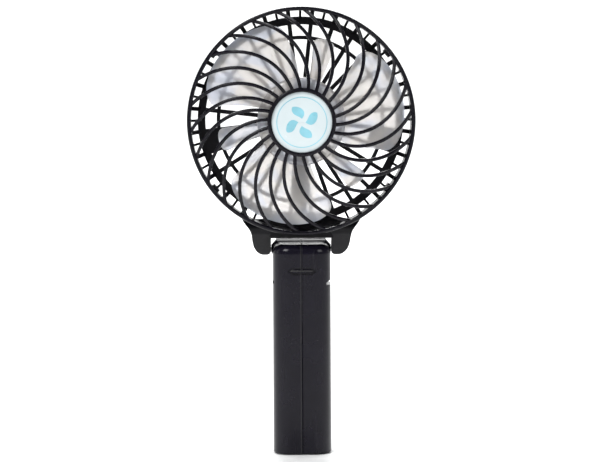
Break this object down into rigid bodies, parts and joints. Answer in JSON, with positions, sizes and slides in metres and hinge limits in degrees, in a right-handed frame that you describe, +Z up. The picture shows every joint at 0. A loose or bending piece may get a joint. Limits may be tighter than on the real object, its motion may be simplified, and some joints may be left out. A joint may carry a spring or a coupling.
{
  "type": "handheld electric fan",
  "caption": "Small battery fan: caged round head with a broad-bladed impeller, folding on a slim rounded handle with a sliding battery door.",
  "frame": {"origin": "centre of the handle's flat base", "axes": "+Z up the handle, -Y the way the air leaves the front grille, +X to the right seen from the front"},
  "size_m": [0.105, 0.0379, 0.2075],
  "materials": {
    "gloss_black": "glossy black moulded plastic",
    "matte_black": "fine-textured dark plastic",
    "badge_white": "white gloss plastic",
    "clear_plastic": "frosted clear plastic",
    "steel": "zinc-plated steel",
    "bronze": "sintered bronze",
    "magnet": "sintered ferrite",
    "iron": "laminated iron",
    "copper": "enamelled copper",
    "motor_plastic": "natural nylon",
    "cable_jacket": "black soft cable jacket",
    "lead_black": "black soft insulation",
    "cell_wrap": "shrink sleeve",
    "board_green": "solder mask",
    "chip_black": "moulded chip package",
    "contact_steel": "nickel-plated spring steel",
    "lamp": "lamp encapsulation",
    "light_guide": "clear acrylic",
    "button_grey": "gloss dark plastic"
  },
  "bodies": {
    "handle": {"handle_shell_left": "gloss_black", "handle_shell_right": "gloss_black", "handle_screws": "steel", "handle_cable": "cable_jacket", "battery_cell": "cell_wrap", "battery_spring": "contact_steel", "contact_plate_lower": "contact_steel", "contact_plate_upper": "contact_steel", "battery_lead": "lead_black", "circuit_board": "board_green", "board_chips": "chip_black", "inductor": "chip_black", "port_shell": "contact_steel", "port_tongue": "chip_black", "push_switch": "chip_black", "status_lamp": "lamp", "lamp_window": "light_guide"},
    "head": {"front_grille": "gloss_black", "badge": "badge_white", "rear_housing": "matte_black", "wire_cover": "matte_black", "motor_cover": "matte_black", "motor_can": "steel", "motor_bush_front": "bronze", "motor_bush_rear": "bronze", "motor_magnets": "magnet", "motor_end_cap": "motor_plastic", "motor_brushes": "contact_steel", "motor_terminals": "contact_steel", "motor_screws": "steel", "motor_leads": "lead_black", "head_cable": "cable_jacket", "hinge_pin": "steel", "hinge_sleeve": "steel", "hinge_clips": "contact_steel", "hinge_caps": "matte_black"},
    "rotor": {"impeller": "clear_plastic", "motor_shaft": "steel", "rotor_core": "iron", "rotor_windings": "copper", "commutator": "copper"},
    "battery_door": {"battery_door": "gloss_black"},
    "power_button": {"power_button": "button_grey"}
  },
  "joints": [
    {"name": "head_fold", "type": "hinge", "parent": "handle", "child": "head", "pos_m": [0, 0.0093, 0.0943], "axis": [-1, 0, 0], "range_deg": [0, 180]},
    {"name": "impeller_spin", "type": "hinge", "parent": "head", "child": "rotor", "pos_m": [0, 0, 0.155], "axis": [0, -1, 0], "continuous": true},
    {"name": "door_slide", "type": "slide", "parent": "handle", "child": "battery_door", "axis": [0, 0, -1], "range_m": [0, 0.076]},
    {"name": "button_press", "type": "slide", "parent": "handle", "child": "power_button", "axis": [0, -1, 0], "range_m": [0, 0.0003], "stiffness_N_per_m": 800, "springref_m": -0.0002}
  ]
}
